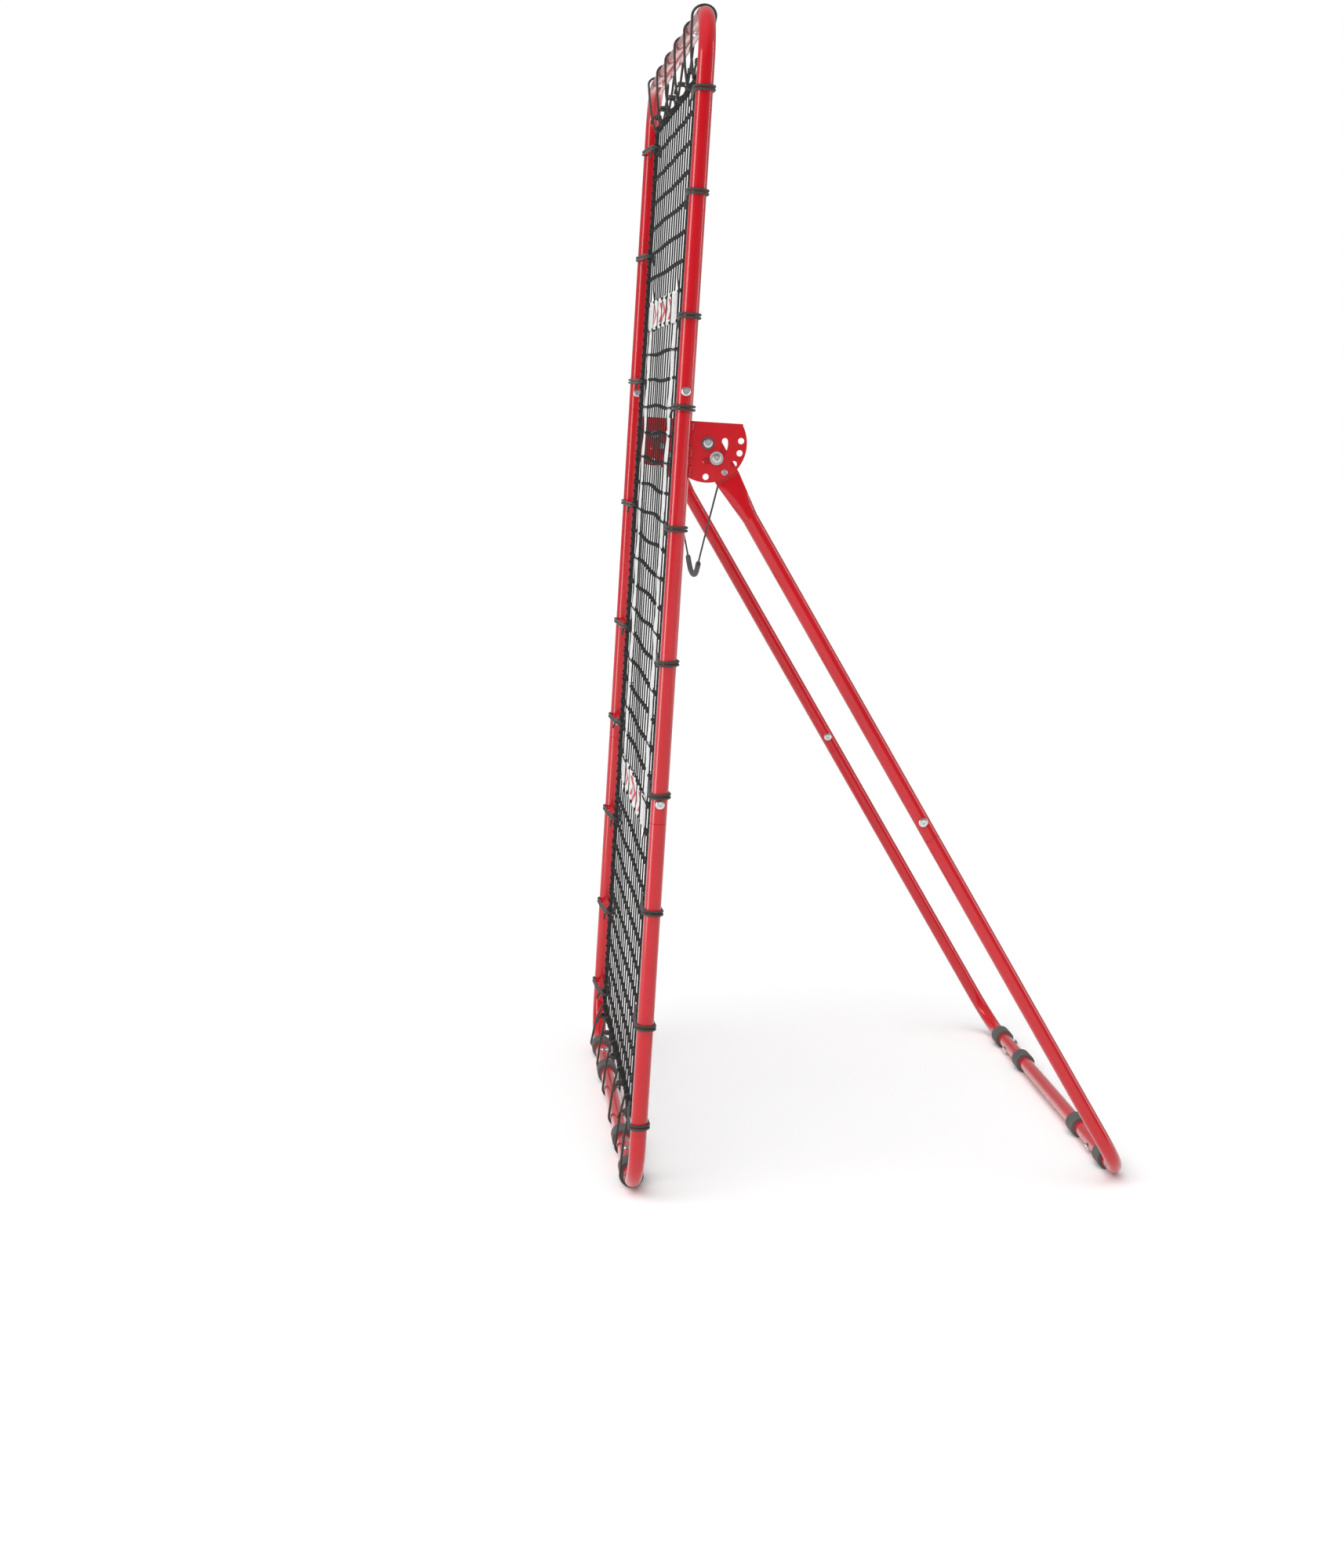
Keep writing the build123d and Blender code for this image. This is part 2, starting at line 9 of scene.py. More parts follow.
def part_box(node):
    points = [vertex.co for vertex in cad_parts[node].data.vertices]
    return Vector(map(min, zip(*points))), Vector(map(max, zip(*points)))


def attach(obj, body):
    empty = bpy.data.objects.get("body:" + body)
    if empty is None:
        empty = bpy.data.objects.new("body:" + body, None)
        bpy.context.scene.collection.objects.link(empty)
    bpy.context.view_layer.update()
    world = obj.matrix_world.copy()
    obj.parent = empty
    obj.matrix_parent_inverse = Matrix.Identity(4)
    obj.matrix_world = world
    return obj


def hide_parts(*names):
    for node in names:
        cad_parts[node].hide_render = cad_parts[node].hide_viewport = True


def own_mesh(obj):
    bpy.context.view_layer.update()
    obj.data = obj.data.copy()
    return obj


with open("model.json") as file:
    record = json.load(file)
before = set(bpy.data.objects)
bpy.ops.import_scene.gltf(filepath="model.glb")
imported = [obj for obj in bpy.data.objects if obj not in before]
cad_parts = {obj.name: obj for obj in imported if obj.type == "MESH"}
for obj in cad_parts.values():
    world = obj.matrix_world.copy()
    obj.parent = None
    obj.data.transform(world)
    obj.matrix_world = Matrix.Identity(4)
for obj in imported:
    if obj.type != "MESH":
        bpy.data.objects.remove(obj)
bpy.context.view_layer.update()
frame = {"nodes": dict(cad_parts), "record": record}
random.seed(7)

# ---- the panel's own axes, read from the frame ----
def centre(node):
    """The middle of a node's box."""
    low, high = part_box(node)
    return (Vector(low) + Vector(high)) / 2


bottom = centre("bottom_bar")
top = centre("top_bar")
right = Vector((1, 0, 0))
up = (top - bottom).normalized()
front = right.cross(up)
frame_height = (top - bottom).length
half_spacing = centre("mid_post_right").x
post_radius = (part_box("bottom_bar")[1][2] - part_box("bottom_bar")[0][2]) / 2


def panel_point(x, y, z=0.0):
    """A point from the bottom bar's middle: x right, y up the panel, z forwards."""
    return bottom + right * x + up * y + front * z


# ---- sizes of the soft parts, in metres ----
columns, rows = 17, 36
mesh_height = 0.0445
rope_radius = 0.003
net_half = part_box("net_border_rope")[1][0] - rope_radius
net_bottom = 0.081
mesh_width = 2 * net_half / columns
net_top = net_bottom + rows * mesh_height
string_radius = 0.0013
row_radius = 0.0013
lacing_radius = 0.0009
bungee = 0.002
tie_clearance = 0.0003
left_rows = (0.5, 4, 8, 12, 16, 21, 26, 31, 35.3)
right_rows = (0.5, 4, 8, 12, 16.5, 21, 25, 28, 32, 35.3)
inner_tie, outer_tie = 0.090, 0.265
corner_on_bar, corner_on_net = 0.426, 0.372
zone_columns = (3, 14)
zone_rows = (10.5, 28.5)
webbing_width = 0.050
webbing_thickness = 0.0013
band_wave_height, strap_wave_height = 0.0024, 0.0009
sewn_lift = 0.0012
row_weave_height = 0.0022
string_set_back = 0.0034


# ---- materials ----
def new_material(name):
    """A material with its nodes and links."""
    material = bpy.data.materials.new(name)
    material.use_nodes = True
    return material, material.node_tree.nodes, material.node_tree.links


def noise(nodes, links, scale, detail=4.0, vector=None):
    """Noise of a scale, from 0 to 1."""
    node = nodes.new("ShaderNodeTexNoise")
    node.inputs["Scale"].default_value = scale
    node.inputs["Detail"].default_value = detail
    if vector:
        links.new(vector, node.inputs["Vector"])
    return node.outputs["Fac"]


def ramp(nodes, links, source, low, high, at=(0.3, 0.7)):
    """A colour between low and high, led by source."""
    node = nodes.new("ShaderNodeValToRGB")
    links.new(source, node.inputs["Fac"])
    node.color_ramp.elements[0].position, node.color_ramp.elements[1].position = at
    node.color_ramp.elements[0].color = (*low, 1)
    node.color_ramp.elements[1].color = (*high, 1)
    return node.outputs["Color"]


def spread(nodes, links, source, low, high):
    """Source, which is 0 to 1, as low to high."""
    node = nodes.new("ShaderNodeMapRange")
    links.new(source, node.inputs["Value"])
    node.inputs["To Min"].default_value = low
    node.inputs["To Max"].default_value = high
    return node.outputs["Result"]


def bump(nodes, links, height, shader, strength, distance):
    """Fine relief on a shader, led by height."""
    node = nodes.new("ShaderNodeBump")
    node.inputs["Strength"].default_value = strength
    node.inputs["Distance"].default_value = distance
    links.new(height, node.inputs["Height"])
    links.new(node.outputs["Normal"], shader.inputs["Normal"])


def object_place(nodes):
    """The place on the object, in metres."""
    return nodes.new("ShaderNodeTexCoord").outputs["Object"]


def powder_coat():
    """Red powder coat: cloudy colour, fine orange peel and a clear gloss."""
    material, nodes, links = new_material("red_powder_coat")
    shader = nodes["Principled BSDF"]
    place = object_place(nodes)
    cloud = noise(nodes, links, 6.0, 3.0, place)
    red = ramp(nodes, links, cloud, (0.50, 0.0018, 0.0078), (0.57, 0.0032, 0.012))
    links.new(red, shader.inputs["Base Color"])
    patches = noise(nodes, links, 60.0, 2.0, place)
    links.new(spread(nodes, links, patches, 0.26, 0.36), shader.inputs["Roughness"])
    shader.inputs["Specular IOR Level"].default_value = 0.18
    shader.inputs["Coat Weight"].default_value = 0.9
    shader.inputs["Coat Roughness"].default_value = 0.12
    bump(nodes, links, noise(nodes, links, 900.0, 2.0, place), shader, 0.12, 0.0004)
    return material


def metal(name, colour, rough, grain):
    """Plated or bare steel with a mottled tone."""
    material, nodes, links = new_material(name)
    shader = nodes["Principled BSDF"]
    place = object_place(nodes)
    shader.inputs["Metallic"].default_value = 1.0
    tone = noise(nodes, links, 180.0, 3.0, place)
    dark = tuple(c * 0.82 for c in colour)
    links.new(ramp(nodes, links, tone, dark, colour), shader.inputs["Base Color"])
    patches = noise(nodes, links, 400.0, 2.0, place)
    links.new(spread(nodes, links, patches, *rough), shader.inputs["Roughness"])
    bump(nodes, links, noise(nodes, links, grain, 2.0, place), shader, 0.1, 0.0003)
    return material


def rubber(name, colour, grain, rough=(0.62, 0.8)):
    """Matt rubber with a fine grain."""
    material, nodes, links = new_material(name)
    shader = nodes["Principled BSDF"]
    place = object_place(nodes)
    tone = noise(nodes, links, 40.0, 4.0, place)
    dark = tuple(c * 0.75 for c in colour)
    links.new(ramp(nodes, links, tone, dark, colour), shader.inputs["Base Color"])
    patches = noise(nodes, links, 200.0, 2.0, place)
    links.new(spread(nodes, links, patches, *rough), shader.inputs["Roughness"])
    bump(nodes, links, noise(nodes, links, grain, 3.0, place), shader, 0.35, 0.0006)
    return material


def braid(name, colour, pitch, sheen):
    """Braided cord: two crossing sets of bands along the tube's own u and v."""
    material, nodes, links = new_material(name)
    shader = nodes["Principled BSDF"]
    place = nodes.new("ShaderNodeTexCoord").outputs["UV"]
    heights = []
    for lean in (1, -1):
        split = nodes.new("ShaderNodeSeparateXYZ")
        links.new(place, split.inputs["Vector"])
        along = nodes.new("ShaderNodeMath")
        along.operation = "MULTIPLY"
        along.inputs[1].default_value = 1 / pitch
        links.new(split.outputs["Y"], along.inputs[0])
        around = nodes.new("ShaderNodeMath")
        around.operation = "MULTIPLY_ADD"
        around.inputs[1].default_value = 4.0 * lean
        links.new(split.outputs["X"], around.inputs[0])
        links.new(along.outputs[0], around.inputs[2])
        turn = nodes.new("ShaderNodeMath")
        turn.operation = "MULTIPLY"
        turn.inputs[1].default_value = 2 * math.pi
        links.new(around.outputs[0], turn.inputs[0])
        wave = nodes.new("ShaderNodeMath")
        wave.operation = "SINE"
        links.new(turn.outputs[0], wave.inputs[0])
        heights.append(wave.outputs[0])
    both = nodes.new("ShaderNodeMath")
    both.operation = "MULTIPLY"
    links.new(heights[0], both.inputs[0])
    links.new(heights[1], both.inputs[1])
    # The low parts of the weave are painted darker: painted shade in the braid's grooves.
    dark = tuple(c * 0.45 for c in colour)
    weave = spread(nodes, links, both.outputs[0], 0.0, 1.0)
    groove_shade_tone = ramp(nodes, links, weave, dark, colour, (0.2, 0.8))
    links.new(groove_shade_tone, shader.inputs["Base Color"])
    links.new(spread(nodes, links, noise(nodes, links, 300.0), 0.62, 0.85), shader.inputs["Roughness"])
    shader.inputs["Sheen Weight"].default_value = sheen
    bump(nodes, links, both.outputs[0], shader, 0.6, 0.0004)
    return material


def webbing(name, printed):
    """White woven tape, ribbed along its length, with a row of red chevrons where printed."""
    material, nodes, links = new_material(name)
    shader = nodes["Principled BSDF"]
    place = nodes.new("ShaderNodeTexCoord").outputs["UV"]
    split = nodes.new("ShaderNodeSeparateXYZ")
    links.new(place, split.inputs["Vector"])

    def step(operation, first, second, third=None):
        node = nodes.new("ShaderNodeMath")
        node.operation = operation
        for socket, value in zip(node.inputs, (first, second, third)):
            if isinstance(value, (int, float)):
                socket.default_value = value
            elif value is not None:
                links.new(value, socket)
        return node.outputs[0]

    warp_pitch, weft_pitch = 0.0016, 0.0022
    warp = step("SINE", step("MULTIPLY", split.outputs["X"], 2 * math.pi / warp_pitch), None)
    weft = step("SINE", step("MULTIPLY", split.outputs["Y"], 2 * math.pi / weft_pitch), None)
    weave = step("MULTIPLY", warp, weft)
    # The low parts of the weave are painted greyer: painted shade in the weave's hollows.
    plain = ramp(nodes, links, weave, (0.74, 0.74, 0.73), (0.9, 0.9, 0.89), (0.0, 0.6))
    colour = plain
    if printed:
        pitch, slant, inked, half_height, reach = 0.036, 34.0, 0.38, 0.0165, 0.2
        fold = step("ABSOLUTE", split.outputs["X"], None)
        chevron = step("MULTIPLY_ADD", fold, slant, step("MULTIPLY", split.outputs["Y"], 1 / pitch))
        dash = step("LESS_THAN", step("FRACT", chevron, None), inked)
        inside = step("LESS_THAN", fold, half_height)
        ends = step("LESS_THAN", step("ABSOLUTE", split.outputs["Y"], None), reach)
        mask = step("MULTIPLY", step("MULTIPLY", dash, inside), ends)
        mix = nodes.new("ShaderNodeMix")
        mix.data_type = "RGBA"
        links.new(mask, mix.inputs["Factor"])
        links.new(plain, mix.inputs["A"])
        mix.inputs["B"].default_value = (0.62, 0.02, 0.045, 1)
        colour = mix.outputs["Result"]
    links.new(colour, shader.inputs["Base Color"])
    shader.inputs["Roughness"].default_value = 0.75
    shader.inputs["Sheen Weight"].default_value = 0.2
    bump(nodes, links, weave, shader, 0.5, 0.0003)
    return material


materials = {
    "red_powder_coat": powder_coat(),
    "zinc_hardware": metal("zinc_hardware", (0.78, 0.78, 0.79), (0.22, 0.36), 500.0),
    "steel_pin": metal("steel_pin", (0.62, 0.62, 0.63), (0.28, 0.42), 300.0),
    "ring_rubber": rubber("ring_rubber", (0.11, 0.105, 0.10), 500.0),
    "net_cord": braid("net_cord", (0.022, 0.020, 0.020), 0.004, 0.0),
    "zone_webbing": webbing("zone_webbing", False),
    "tie_bungee": braid("tie_bungee", (0.075, 0.068, 0.062), 0.005, 0.15),
    "pull_cord": braid("pull_cord_braid", (0.04, 0.038, 0.036), 0.004, 0.1),
    "handle_rubber": rubber("handle_rubber", (0.085, 0.08, 0.078), 300.0),
}
printed_webbing = webbing("zone_webbing_printed", True)

# The pivot washers are painted dark grey: painted shade in the gap round the pivot bolts.
painted_shade_washer = metal("painted_shade_washer", (0.20, 0.20, 0.21), (0.3, 0.45), 400.0)

slot_of = {entry["node"]: entry["material_slot"] for entry in frame["record"]["subparts"]}
for node, obj in frame["nodes"].items():
    obj.data.materials.clear()
    obj.data.materials.append(painted_shade_washer if node == "pivot_washers" else materials[slot_of[node]])


# ---- mesh tools ----
class Shape:
    """Vertices, faces and UVs gathered for one piece."""

    def __init__(self):
        self.vertices, self.faces, self.uvs = [], [], []

    def tube(self, points, radius, sides=8, closed=False, strands=0, lay=0.02, ripple=0.0, taper=0.0):
        """A tube along points; strands and lay give a laid rope's turning lobes."""
        lobe_depth = 0.13 if strands else 0.0
        points = [Vector(p) for p in points]
        count = len(points)
        first = len(self.vertices)
        tangents = []
        for i in range(count):
            before = points[i - 1] if (i or closed) else points[0]
            after = points[(i + 1) % count] if (i < count - 1 or closed) else points[-1]
            tangents.append((after - before).normalized())
        side = tangents[0].orthogonal().normalized()
        run = 0.0
        runs = []
        for i, (point, tangent) in enumerate(zip(points, tangents)):
            if i:
                side.rotate(tangents[i - 1].rotation_difference(tangent))
                run += (point - points[i - 1]).length
            side = (side - tangent * side.dot(tangent)).normalized()
            other = tangent.cross(side)
            runs.append(run)
            size = radius * (1 + ripple * math.sin(i * 2.1))
            if taper and not closed:
                size *= 1 - taper * max(0.0, 1 - min(i, count - 1 - i) / 2)
            for k in range(sides):
                angle = 2 * math.pi * k / sides
                lobe = 1 + lobe_depth * math.cos(strands * (angle - 2 * math.pi * run / lay))
                spoke = side * math.cos(angle) + other * math.sin(angle)
                self.vertices.append(point + spoke * size * lobe)
        shift = 0
        if closed:
            side.rotate(tangents[-1].rotation_difference(tangents[0]))
            start = (self.vertices[first] - points[0]).normalized()
            sine = tangents[0].dot(side.cross(start))
            shift = round(math.atan2(sine, side.dot(start)) / (2 * math.pi) * sides)
        rings = count if closed else count - 1
        for i in range(rings):
            last = closed and i == count - 1
            for k in range(sides):
                a, b = first + i * sides + k, first + i * sides + (k + 1) % sides
                if last:
                    c = first + (k + 1 - shift) % sides
                    d = first + (k - shift) % sides
                    end_run = runs[i] + (points[0] - points[i]).length
                else:
                    c, d = b + sides, a + sides
                    end_run = runs[i + 1]
                self.faces.append((a, b, c, d))
                u0, u1 = k / sides, (k + 1) / sides
                self.uvs.append(((u0, runs[i]), (u1, runs[i]), (u1, end_run), (u0, end_run)))
        if not closed:
            for base, flip in ((first, True), (first + (count - 1) * sides, False)):
                ring = tuple(range(base, base + sides))
                self.faces.append(ring[::-1] if flip else ring)
                self.uvs.append(tuple((0.5, 0.0) for _ in ring))

    def ring(self, middle, axis, radius, thick, steps=10, sides=5):
        """A small torus about an axis, such as one turn of a knot."""
        across = Vector(axis).orthogonal().normalized()
        points = []
        for i in range(steps):
            turn = Quaternion(Vector(axis).normalized(), 2 * math.pi * i / steps)
            points.append(Vector(middle) + turn @ across * radius)
        self.tube(points, thick, sides, closed=True)

    def make(self, name, material, body, replaced=()):
        """The finished piece, riding on a body and standing for the replaced nodes."""
        mesh = bpy.data.meshes.new(name)
        mesh.from_pydata([tuple(v) for v in self.vertices], [], self.faces)
        layer = mesh.uv_layers.new(name="UVMap")
        flat = [coordinate for face in self.uvs for corner in face for coordinate in corner]
        layer.data.foreach_set("uv", flat)
        mesh.polygons.foreach_set("use_smooth", [len(f) < 7 for f in self.faces])
        mesh.materials.append(material)
        mesh.update()
        piece = bpy.data.objects.new(name, mesh)
        bpy.context.collection.objects.link(piece)
        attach(piece, body)
        if replaced:
            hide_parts(*replaced)
        return piece


# ---- the rebound net ----
def bow(value, stops, depth):
    """How far an edge is drawn in between the ties at stops."""
    for low, high in zip(stops, stops[1:]):
        if low <= value <= high:
            return depth * math.sin(math.pi * (value - low) / (high - low)) * min(1.0, (high - low) / 4)
    return 0.0


tie_line = (-corner_on_net, -outer_tie, -inner_tie, inner_tie, outer_tie, corner_on_net)
tie_columns = [(place / mesh_width) + columns / 2 for place in tie_line]
side_bow, end_bow = 0.006, 0.005
slack_x, slack_y, slack_z = 0.0018, 0.0030, 0.0007
zone_end, weave_reach, weave_fade = 0.6, 0.95, 0.35  # in meshes


def net_place(column, row):
    """A point of the net, counted in meshes from its lower left corner."""
    x = column * mesh_width - net_half
    y = net_bottom + row * mesh_height
    edge = x / net_half
    rise = 2 * row / rows - 1
    if edge > 0:
        x -= bow(row, right_rows, side_bow) * edge**3
    else:
        x += bow(row, left_rows, side_bow) * abs(edge) ** 3
    pull = bow(column, tie_columns, end_bow) * abs(rise) ** 7
    y += -pull if rise > 0 else pull
    loose = (1 - edge**2) * (1 - rise**2)
    z = slack_z * loose * math.sin(column * 0.7 + row * 0.5)
    x += slack_x * math.sin(column * 2.3 + row * 0.7) * loose
    y += slack_y * math.sin(column * 0.55 + row * 1.9) * loose
    return x, y, z


def column_set_back(column, row):
    """The strings that run along the straps lie behind them."""
    inside = zone_rows[0] - zone_end < row < zone_rows[1] + zone_end
    return -string_set_back if column in zone_columns and inside else 0.0


def row_weave(column, row):
    """The strings across a strap pass in front of it and behind it in turn."""
    if not zone_rows[0] < row < zone_rows[1]:
        return 0.0
    nearest = min(abs(column - strap) for strap in zone_columns)
    share = min(1.0, max(0.0, (weave_reach - nearest) / weave_fade))
    return row_weave_height * share * (1 if row % 2 else -1)


steps_up, steps_across = 2, 8  # points in each mesh
row_sway = 0.0006
strings = Shape()
for column in range(1, columns):
    route = []
    for step in range(rows * steps_up + 1):
        row = step / steps_up
        x, y, z = net_place(column, row)
        route.append(panel_point(x, y, z + column_set_back(column, row)))
    strings.tube(route, string_radius, 6)
for row in range(1, rows):
    route = []
    for step in range(columns * steps_across + 1):
        column = step / steps_across
        x, y, z = net_place(column, row)
        sway = row_sway * math.sin(step * 0.9 + row)
        route.append(panel_point(x, y + sway, z + row_weave(column, row)))
    strings.tube(route, row_radius, 8, strands=2, lay=0.016)
strings.make("net_strings", materials["net_cord"], "net_panel", ["rebound_net"])

# Each knot is two loops of string that lie across each other.
knot_thickness = string_radius * 1.2
knots = Shape()
for column in range(1, columns):
    for row in range(1, rows):
        x, y, z = net_place(column, row)
        z += (column_set_back(column, row) + row_weave(column, row)) / 2
        middle = panel_point(x, y, z)
        lean = random.uniform(-0.25, 0.25)
        slanting = (right * (0.75 + lean) + up * 0.65).normalized()
        crossing = (right * (-0.7 + lean) + up * 0.72 + front * 0.3).normalized()
        knots.ring(middle, slanting, row_radius * 1.5, knot_thickness, 9, 6)
        middle = middle + up * random.uniform(-0.0006, 0.0006)
        knots.ring(middle, crossing, row_radius * 1.4, knot_thickness, 9, 6)
knots.make("net_knots", materials["net_cord"], "net_panel")

# ---- its border rope, with each string whipped round it ----
corner, corner_steps = 0.35, 6  # radius of the rope's corners, in meshes
corner_centres = (
    (columns - corner, corner), (columns - corner, rows - corner), (corner, rows - corner), (corner, corner),
)
edge_route = []
for turn, (centre_column, centre_row) in enumerate(corner_centres):
    for step in range(corner_steps + 1):
        angle = math.radians(90 * turn - 90 + 90 // corner_steps * step)
        last = (centre_column + corner * math.cos(angle), centre_row + corner * math.sin(angle))
        edge_route.append(last)
    next_column, next_row = corner_centres[(turn + 1) % 4]
    side = abs(next_column - centre_column) + abs(next_row - centre_row)
    heading = (round((next_column - centre_column) / side), round((next_row - centre_row) / side))
    for step in range(1, int(side * 4)):
        edge_route.append((last[0] + heading[0] * step / 4, last[1] + heading[1] * step / 4))
rope_points = []
for column, row in edge_route:
    x, y, _ = net_place(column, row)
    rope_points.append(panel_point(x, y, 0))
rope_line = []
for a, b in zip(rope_points, rope_points[1:] + rope_points[:1]):
    rope_line += [a.lerp(b, t / 3) for t in range(3)]
rope = Shape()
rope.tube(rope_line, rope_radius * 0.95, 12, closed=True, strands=3, lay=0.05)
rope.make("border_rope", materials["net_cord"], "net_panel", ["net_border_rope"])

# A lacing cord winds round the rope and gathers the net's edge to it.
lacing = Shape()
lace_pitch, lace_steps = 0.0148, 9
turns = []
count = len(rope_points)
for i in range(count):
    here, following = rope_points[i], rope_points[(i + 1) % count]
    steps = max(1, round((following - here).length / lace_pitch * lace_steps))
    turns += [(here.lerp(following, t / steps), following - here) for t in range(steps)]
for i, (point, heading) in enumerate(turns):
    outwards = heading.normalized().cross(front)
    angle = 2 * math.pi * i / lace_steps
    turns[i] = point + (outwards * math.cos(angle) + front * math.sin(angle)) * (rope_radius + lacing_radius)
lacing.tube(turns, lacing_radius, 5, closed=True)
lacing.make("border_lacing", materials["net_cord"], "net_panel")

# Each string goes twice round the rope where it ends.
whip_shift, whip_slant = 0.0012, 90
whip_radius = rope_radius + string_radius * 0.6
whipping = Shape()
for row in range(1, rows):
    for column in (0, columns):
        x, y, _ = net_place(column, row)
        for shift in (-whip_shift, whip_shift):
            heading = up + right * shift * whip_slant
            whipping.ring(panel_point(x, y + shift, 0), heading, whip_radius, string_radius, 10, 5)
for column in range(1, columns):
    for row in (0, rows):
        x, y, _ = net_place(column, row)
        for shift in (-whip_shift, whip_shift):
            heading = right + up * shift * whip_slant
            whipping.ring(panel_point(x + shift, y, 0), heading, whip_radius, string_radius, 10, 5)
whipping.make("border_whipping", materials["net_cord"], "net_panel")


# ---- bungee ties ----
loop_steps = 26
tail_steps, tail_step = 7, 0.0028
tail_droop = Vector((0, 0, 0.42))


def loop_outline(length, tube_loop, rope_loop, steps):
    """Points of a loop round a tube at 0 and the rope at length, from the rope's far side."""
    slant = math.acos((tube_loop - rope_loop) / length)
    points = []
    for i in range(7):
        angle = slant * i / 6
        points.append((length + rope_loop * math.cos(angle), rope_loop * math.sin(angle)))
    points.append((length * 0.66, tube_loop * 0.55 + rope_loop * 0.42))
    points.append((length * 0.33, tube_loop * 0.82 + rope_loop * 0.18))
    for i in range(steps + 1):
        angle = slant + (2 * math.pi - 2 * slant) * i / steps
        points.append((tube_loop * math.cos(angle), tube_loop * math.sin(angle)))
    points.append((length * 0.33, -tube_loop * 0.82 - rope_loop * 0.18))
    points.append((length * 0.66, -tube_loop * 0.55 - rope_loop * 0.42))
    for i in range(6):
        angle = slant * (1 - i / 6)
        points.append((length + rope_loop * math.cos(angle), -rope_loop * math.sin(angle)))
    return points


def add_tie(shape, start, end, turns, oval=1.0, knot_at=0.8):
    """A bungee tied round a frame tube at start and the border rope at end."""
    run = end - start
    length = run.length
    tilt = random.uniform(-0.09, 0.09)
    out = run.normalized()
    over = front
    level = out.cross(over)
    tube_loop = post_radius / oval + tie_clearance + bungee
    rope_loop = rope_radius / oval + tie_clearance + bungee
    outline = loop_outline(length, tube_loop, rope_loop, loop_steps)
    total = len(outline) * turns
    route = []
    for i in range(total):
        a, b = outline[i % len(outline)]
        height = 0.0
        if turns > 1:
            from_end = min(i % len(outline), len(outline) - 1 - i % len(outline))
            height = (1 if i < len(outline) else -1) * bungee * 1.22 * min(1.0, from_end / 5)
            height += tilt * b
        route.append(start + out * a + over * b + level * height)
    shape.tube(route, bungee, 8, closed=True)
    knot = start + out * (length * knot_at)
    width = bungee * (1.9 if turns > 1 else 1.5)
    for slip in (-0.9, 0.9):
        lean = (out + level * random.uniform(-0.35, 0.35)).normalized()
        shape.ring(knot + out * bungee * slip, lean, width + bungee * 0.9, bungee, 14, 7)
    for sign in (1, -1):
        tail = [knot + over * (width * 0.6) * sign]
        heading = over * sign * 0.8 + out * random.uniform(-0.2, 0.9) + level * random.uniform(-0.6, 0.6)
        heading.normalize()
        for _ in range(tail_steps):
            heading = (heading - tail_droop + level * random.uniform(-0.12, 0.12)).normalized()
            tail.append(tail[-1] + heading * tail_step)
        shape.tube(tail, bungee * 0.95, 8, taper=0.15)


for side, sign, tie_rows in (("left", -1, left_rows), ("right", 1, right_rows)):
    ties = Shape()
    for row in tie_rows:
        height = net_bottom + row * mesh_height
        start = panel_point(sign * half_spacing, height)
        end = panel_point(sign * net_half, height)
        add_tie(ties, start, end, 2, knot_at=0.86)
    ties.make(f"bungees_{side}", materials["tie_bungee"], "net_panel", [f"side_ties_{side}"])

for name, bar_level, net_level in (("top", frame_height, net_top), ("bottom", 0.0, net_bottom)):
    ties = Shape()
    for sign in (1, -1):
        for place in (inner_tie, outer_tie):
            start = panel_point(sign * place, bar_level)
            end = panel_point(sign * place, net_level)
            add_tie(ties, start, end, 1, knot_at=0.72)
        start = panel_point(sign * corner_on_bar, bar_level)
        end = panel_point(sign * corner_on_net, net_level)
        oval = math.cos(math.atan2(corner_on_bar - corner_on_net, net_bottom))
        add_tie(ties, start, end, 1, oval, 0.74)
    ties.make(f"bungees_{name}", materials["tie_bungee"], "net_panel", [f"{name}_ties"])


# ---- strike zone webbing, woven through the net ----
zone_half = (zone_columns[1] - zone_columns[0]) / 2 * mesh_width


